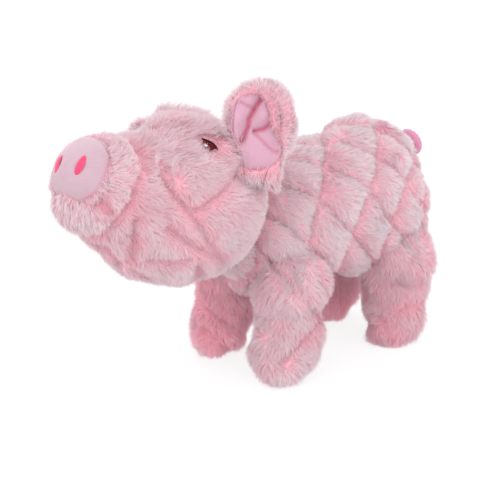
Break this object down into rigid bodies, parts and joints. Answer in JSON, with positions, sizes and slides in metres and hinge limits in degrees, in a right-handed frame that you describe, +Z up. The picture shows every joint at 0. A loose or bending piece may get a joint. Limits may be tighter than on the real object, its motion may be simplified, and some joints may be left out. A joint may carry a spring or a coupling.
{
  "type": "plush pig",
  "caption": "Stuffed plush pig standing on short legs, with a quilted body, smooth round snout, lined ears and a curled tail; head, legs, ears and tail give softly.",
  "frame": {"origin": "on the ground that the four soles stand on, in the middle of the pig's length and width", "axes": "+Z up, -X the way the body faces (the head is turned 15 degrees from it to the pig's left), -Y the pig's left side"},
  "size_m": [0.3124, 0.1314, 0.2008],
  "materials": {
    "plush_fur": "long-pile plush, pale rose, combed and quilted",
    "velboa": "short smooth pile, lilac pink",
    "satin": "smooth brushed satin knit, bright pink",
    "nostril_thread": "satin-stitch embroidery, hot pink",
    "eye_thread": "satin-stitch embroidery, dark maroon with a dark rim",
    "stuffing": "loose white polyester fibre, not seen",
    "vinyl": "soft cream vinyl, not seen"
  },
  "bodies": {
    "trunk": {"body_cover": "plush_fur", "body_filling": "stuffing", "squeaker_bladder": "vinyl", "squeaker_reed": "vinyl"},
    "head": {"head_cover": "plush_fur", "muzzle_panel": "plush_fur", "snout_disc": "velboa", "head_filling": "stuffing", "nostril_left": "nostril_thread", "nostril_right": "nostril_thread", "eye_left": "eye_thread", "eye_right": "eye_thread"},
    "ear_left": {"ear_back_left": "plush_fur", "ear_lining_left": "satin"},
    "ear_right": {"ear_back_right": "plush_fur", "ear_lining_right": "satin"},
    "tail": {"tail": "velboa"},
    "leg_front_left": {"leg_cover_front_left": "plush_fur", "leg_filling_front_left": "stuffing"},
    "leg_front_right": {"leg_cover_front_right": "plush_fur", "leg_filling_front_right": "stuffing"},
    "leg_rear_left": {"leg_cover_rear_left": "plush_fur", "leg_filling_rear_left": "stuffing"},
    "leg_rear_right": {"leg_cover_rear_right": "plush_fur", "leg_filling_rear_right": "stuffing"}
  },
  "joints": [
    {"name": "neck_nod", "type": "hinge", "parent": "trunk", "child": "head", "pos_m": [-0.05143, 0.00019, 0.125], "axis": [-0.2588, 0.9659, 0], "range_deg": [-10, 10], "stiffness_Nm_per_rad": 0.6},
    {"name": "ear_flop_left", "type": "hinge", "parent": "head", "child": "ear_left", "pos_m": [-0.02644, -0.03982, 0.147], "axis": [-0.7475, 0.6578, 0.0927], "range_deg": [-15, 15], "stiffness_Nm_per_rad": 0.05},
    {"name": "ear_flop_right", "type": "hinge", "parent": "head", "child": "ear_right", "pos_m": [-0.03941, 0.04319, 0.144], "axis": [0.1497, 0.4057, -0.9017], "range_deg": [-15, 15], "stiffness_Nm_per_rad": 0.05},
    {"name": "tail_flick", "type": "hinge", "parent": "trunk", "child": "tail", "pos_m": [0.13709, 0.00019, 0.12373], "axis": [0, 1, 0], "range_deg": [-15, 15], "stiffness_Nm_per_rad": 0.03},
    {"name": "leg_swing_front_left", "type": "hinge", "parent": "trunk", "child": "leg_front_left", "pos_m": [0.01257, -0.02881, 0.063], "axis": [0, 1, 0], "range_deg": [-15, 15], "stiffness_Nm_per_rad": 0.5},
    {"name": "leg_swing_front_right", "type": "hinge", "parent": "trunk", "child": "leg_front_right", "pos_m": [0.01257, 0.02919, 0.063], "axis": [0, 1, 0], "range_deg": [-15, 15], "stiffness_Nm_per_rad": 0.5},
    {"name": "leg_swing_rear_left", "type": "hinge", "parent": "trunk", "child": "leg_rear_left", "pos_m": [0.10457, -0.02881, 0.063], "axis": [0, 1, 0], "range_deg": [-15, 15], "stiffness_Nm_per_rad": 0.5},
    {"name": "leg_swing_rear_right", "type": "hinge", "parent": "trunk", "child": "leg_rear_right", "pos_m": [0.10457, 0.02919, 0.063], "axis": [0, 1, 0], "range_deg": [-15, 15], "stiffness_Nm_per_rad": 0.5}
  ]
}
